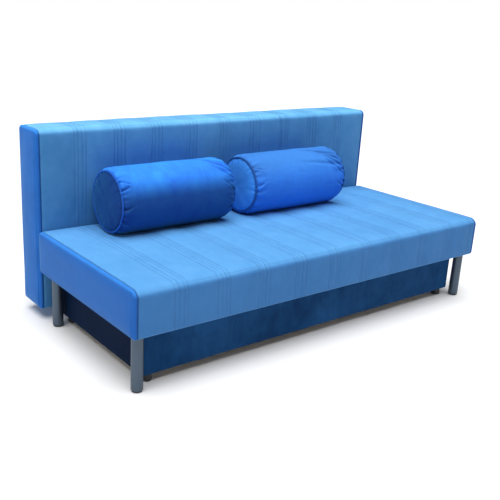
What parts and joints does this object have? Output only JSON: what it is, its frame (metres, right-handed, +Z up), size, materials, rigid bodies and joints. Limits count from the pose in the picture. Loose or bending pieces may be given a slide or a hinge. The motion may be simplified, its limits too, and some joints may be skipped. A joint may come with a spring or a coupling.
{
  "type": "sofa bed",
  "caption": "Roll-out sofa bed: seat slab on tall tube legs slides over a low storage box and the back slab swings down flat behind it; loose round bolsters.",
  "frame": {"origin": "on the floor, at the centre of the whole sofa's footprint", "axes": "+X along the sofa, to the right of a person who stands in front of it and looks at it; +Y to the rear; +Z up"},
  "size_m": [1.9, 0.964, 0.819],
  "materials": {
    "pale_blue_velour": "soft matt pile",
    "royal_blue_velour": "soft pile with a sheen",
    "navy_velour": "soft matt pile over board",
    "timber": "planed, bare",
    "plywood": "bare",
    "foam": "soft open foam",
    "black_lining": "matt non-woven",
    "satin_steel": "satin grey",
    "zinc_steel": "zinc plated",
    "black_plastic": "matt",
    "grey_felt": "matt felt"
  },
  "bodies": {
    "storage_box": {"box_front_panel": "navy_velour", "box_rear_panel": "navy_velour", "box_divider": "plywood", "box_left_panel": "navy_velour", "box_right_panel": "navy_velour", "box_floor_left": "plywood", "box_floor_right": "plywood", "box_foot_front_left": "black_plastic", "box_foot_front_right": "black_plastic", "box_foot_rear_left": "black_plastic", "box_foot_rear_right": "black_plastic", "rest_pad_left": "grey_felt", "rest_pad_right": "grey_felt", "pivot_plate_left": "zinc_steel", "pivot_plate_right": "zinc_steel", "pivot_pin_left": "zinc_steel", "pivot_pin_right": "zinc_steel"},
    "seat": {"seat_cover": "pale_blue_velour", "seat_dust_cover": "black_lining", "seat_front_rail": "timber", "seat_rear_rail": "timber", "seat_left_rail": "timber", "seat_right_rail": "timber", "seat_centre_rail": "timber", "seat_deck": "plywood", "seat_foam": "foam", "leg_tube_front_left": "satin_steel", "leg_tube_front_right": "satin_steel", "leg_tube_rear_left": "satin_steel", "leg_tube_rear_right": "satin_steel", "leg_plate_front_left": "satin_steel", "leg_plate_front_right": "satin_steel", "leg_plate_rear_left": "satin_steel", "leg_plate_rear_right": "satin_steel", "leg_glide_front_left": "black_plastic", "leg_glide_front_right": "black_plastic", "leg_glide_rear_left": "black_plastic", "leg_glide_rear_right": "black_plastic", "guide_shoe_left": "black_plastic", "guide_shoe_right": "black_plastic"},
    "swing_arms": {"swing_arm_left": "zinc_steel", "swing_arm_right": "zinc_steel"},
    "back": {"back_cover": "pale_blue_velour", "back_top_rail": "timber", "back_bottom_rail": "timber", "back_left_rail": "timber", "back_right_rail": "timber", "back_centre_rail": "timber", "back_board": "plywood", "back_foam": "foam", "hinge_bracket_left": "zinc_steel", "hinge_bracket_right": "zinc_steel", "hinge_pin_left": "zinc_steel", "hinge_pin_right": "zinc_steel"},
    "bolster_left": {"bolster_cover_left": "royal_blue_velour", "bolster_core_left": "foam", "bolster_end_panel_left": "royal_blue_velour"},
    "bolster_right": {"bolster_cover_right": "royal_blue_velour", "bolster_core_right": "foam", "bolster_end_panel_right": "royal_blue_velour"}
  },
  "joints": [
    {"name": "seat_slide", "type": "slide", "parent": "storage_box", "child": "seat", "axis": [0, -1, 0], "range_m": [0, 0.617]},
    {"name": "arm_swing", "type": "hinge", "parent": "storage_box", "child": "swing_arms", "pos_m": [0, 0.0615, 0.081], "axis": [1, 0, 0], "range_deg": [0, 149.11]},
    {"name": "back_tilt", "type": "hinge", "parent": "swing_arms", "child": "back", "pos_m": [0, 0.435, 0.083], "axis": [-1, 0, 0], "range_deg": [0, 239.11]},
    {"name": "bolster_left_lift", "type": "slide", "parent": "seat", "child": "bolster_left", "axis": [0, 0, 1], "range_m": [0, 0.3]},
    {"name": "bolster_right_lift", "type": "slide", "parent": "seat", "child": "bolster_right", "axis": [0, 0, 1], "range_m": [0, 0.3]}
  ],
  "couplings": [
    {"joint": "arm_swing", "follows": "seat_slide", "rad_per_m": 4.218},
    {"joint": "back_tilt", "follows": "seat_slide", "rad_per_m": 6.7638}
  ]
}
